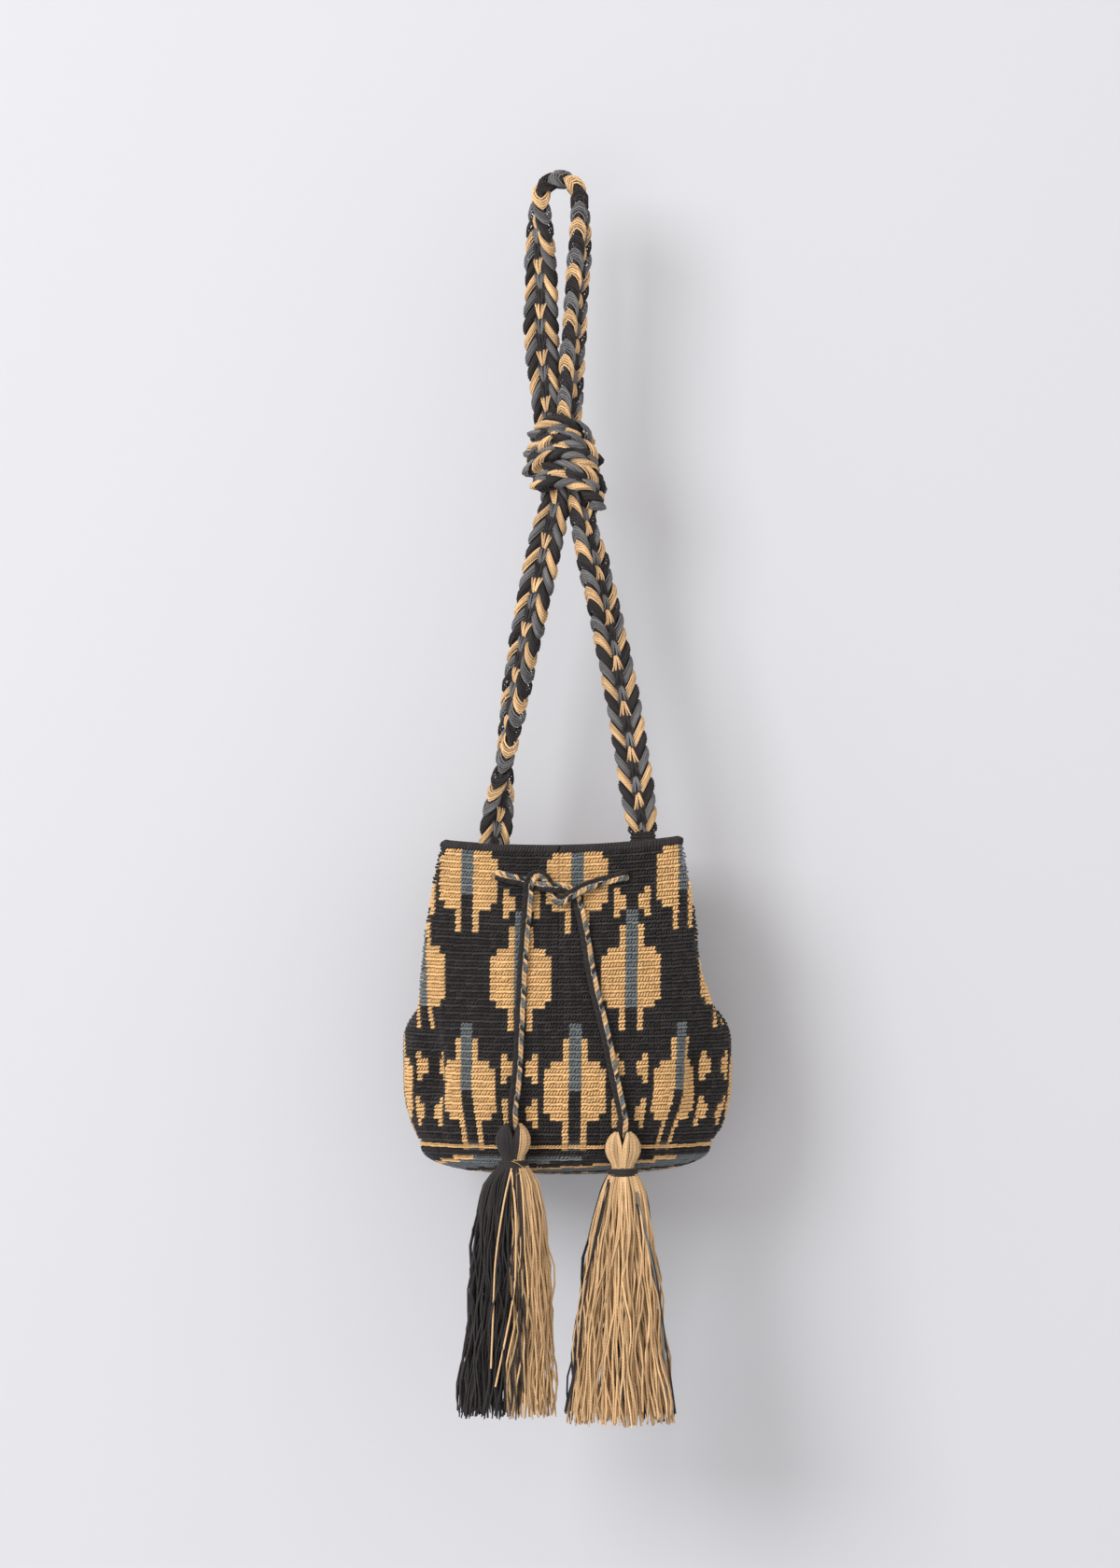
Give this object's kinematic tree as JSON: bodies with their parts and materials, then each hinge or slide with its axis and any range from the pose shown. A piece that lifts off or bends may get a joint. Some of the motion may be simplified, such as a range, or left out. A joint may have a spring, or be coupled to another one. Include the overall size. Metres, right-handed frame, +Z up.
{
  "type": "wayuu mochila bag",
  "caption": "Crocheted round-bottomed bucket bag on a knotted braided shoulder strap, closed by a half-knotted drawstring with yarn tassels.",
  "frame": {"origin": "where the strap's loop bears on what the bag hangs from", "axes": "+Z up along the hanging bag, -Y out of the bag's front, +X to the viewer's right"},
  "size_m": [0.2223, 0.1729, 0.8482],
  "materials": {
    "black_yarn": "matte double-yarn crochet",
    "camel_yarn": "matte plied yarn",
    "braid_yarn": "matte braid of three yarn colours",
    "cord_yarn": "matte flat braid",
    "whipping_yarn": "matte whipped yarn"
  },
  "bodies": {
    "bag": {"bag_body": "black_yarn", "strap": "braid_yarn", "left_strap_end": "whipping_yarn", "right_strap_end": "whipping_yarn", "drawstring": "cord_yarn"},
    "left_tassel": {"left_tassel_black_hank": "black_yarn", "left_tassel_camel_hank": "camel_yarn", "left_tassel_neck_wrap": "whipping_yarn"},
    "right_tassel": {"right_tassel_left_hank": "camel_yarn", "right_tassel_right_hank": "camel_yarn", "right_tassel_neck_wrap": "whipping_yarn"}
  },
  "joints": [
    {"name": "left_tassel_swing", "type": "hinge", "parent": "bag", "child": "left_tassel", "pos_m": [-0.0312, -0.08038, -0.637], "axis": [-1, 0, 0], "range_deg": [0, 90]},
    {"name": "right_tassel_swing", "type": "hinge", "parent": "bag", "child": "right_tassel", "pos_m": [0.0418, -0.07674, -0.6425], "axis": [-1, 0, 0], "range_deg": [0, 90]}
  ]
}
